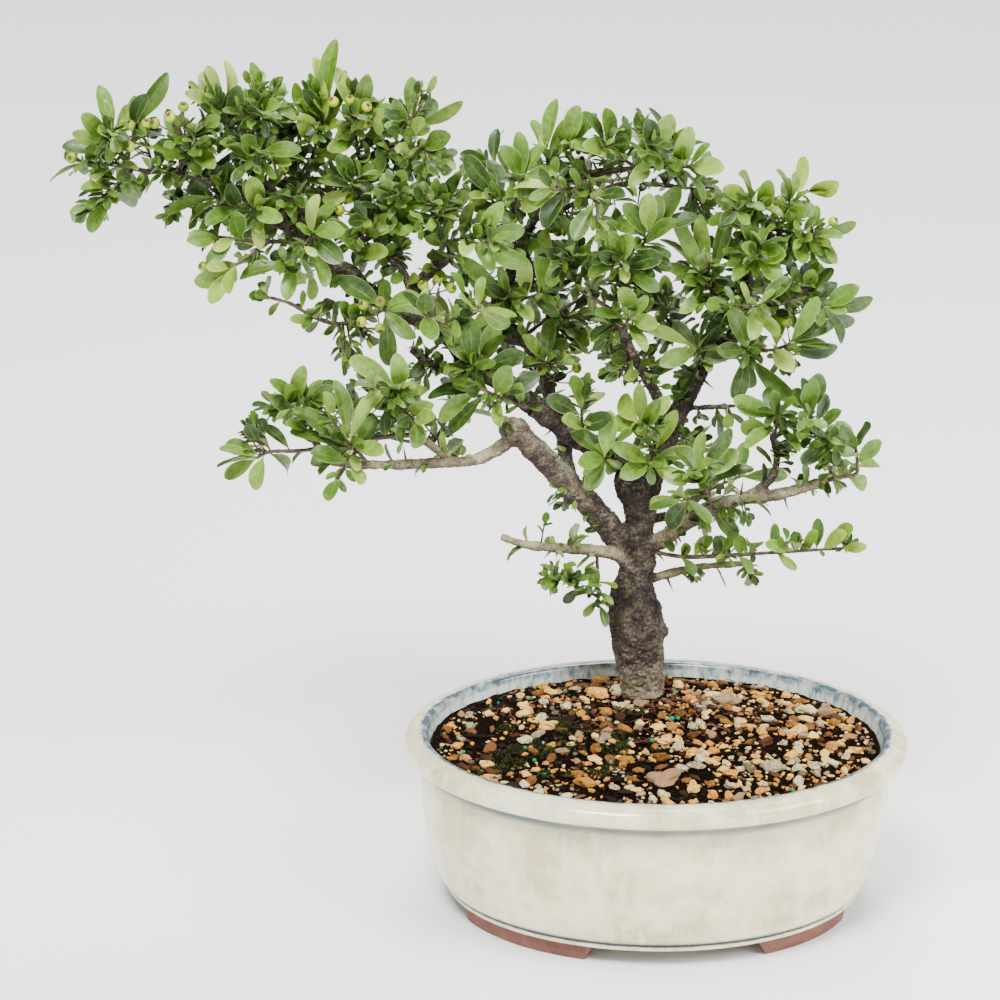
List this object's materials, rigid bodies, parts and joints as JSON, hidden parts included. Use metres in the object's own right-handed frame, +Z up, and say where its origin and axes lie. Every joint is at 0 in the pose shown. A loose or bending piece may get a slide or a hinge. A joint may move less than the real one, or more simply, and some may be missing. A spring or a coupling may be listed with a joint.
{
  "type": "potted bonsai tree",
  "caption": "Firethorn bonsai: leaning, wide-spreading branches with small glossy leaves and green berries, in an oval footed glazed pot",
  "frame": {"origin": "On the ground, under the middle of the box round tree and pot. The pot stands right of it, towards +X.", "axes": "+X to the right and +Y away as seen from the front of the tree, +Z up. The long limbs reach towards -X, and the pot's long axis lies along X."},
  "size_m": [0.5076, 0.2876, 0.5127],
  "materials": {
    "celadon_glaze": "glossy pale celadon glaze with fine streaks and specks, bare pinkish clay on the feet",
    "green_plastic_mesh": "matte",
    "bark_soil": "damp bark chips with tan and grey gravel",
    "firethorn_bark": "rough grey-brown bark with lichen",
    "mature_leaf": "leathery, glossy above and paler below",
    "young_leaf": "soft, light green, half gloss",
    "green_berry": "smooth unripe berry with a brown calyx"
  },
  "bodies": {
    "root": {"pot": "celadon_glaze", "drain_screen_left": "green_plastic_mesh", "drain_screen_right": "green_plastic_mesh", "soil": "bark_soil", "wood": "firethorn_bark", "back_crown_branch": "mature_leaf", "back_far_left_branch": "mature_leaf", "back_left_branch": "mature_leaf", "back_low_left_branch": "mature_leaf", "back_low_right_branch": "mature_leaf", "back_middle_branch": "mature_leaf", "back_right_branch": "mature_leaf", "berry_rosette": "mature_leaf", "big_pale_spray": "mature_leaf", "bough_spray": "mature_leaf", "bright_spray": "young_leaf", "centre_big_spray": "mature_leaf", "centre_fan": "mature_leaf", "centre_right_spray": "mature_leaf", "crown_left_spray": "mature_leaf", "crown_right_spray": "mature_leaf", "crown_spear_spray": "mature_leaf", "far_big_spray": "mature_leaf", "far_left_spray": "mature_leaf", "fork_spray": "mature_leaf", "front_crown_branch": "mature_leaf", "front_left_branch": "mature_leaf", "front_right_spray": "mature_leaf", "front_rosette": "mature_leaf", "hanging_spray": "mature_leaf", "heart_right_spray": "mature_leaf", "left_low_fan": "mature_leaf", "left_low_far_spray": "mature_leaf", "left_low_rosette": "mature_leaf", "left_low_small_spray": "mature_leaf", "left_middle_spray": "mature_leaf", "left_pale_spray": "young_leaf", "left_top_spray": "mature_leaf", "low_right_shoot": "young_leaf", "low_small_spray": "mature_leaf", "middle_spray": "mature_leaf", "right_edge_spray": "mature_leaf", "right_end_spray": "mature_leaf", "right_low_big_spray": "mature_leaf", "right_low_rosette": "mature_leaf", "right_middle_spray": "mature_leaf", "right_upper_spray": "young_leaf", "round_top_spray": "mature_leaf", "small_centre_spray": "mature_leaf", "trunk_top_spray": "mature_leaf", "upright_middle_spray": "mature_leaf", "upright_pale_spray": "young_leaf", "bough_end_berries": "green_berry", "centre_berries": "green_berry", "crown_berries": "green_berry", "far_left_berries": "green_berry", "fork_berries": "green_berry", "left_top_berries": "green_berry", "low_bough_berries": "green_berry", "middle_berries": "green_berry"}
  },
  "joints": []
}
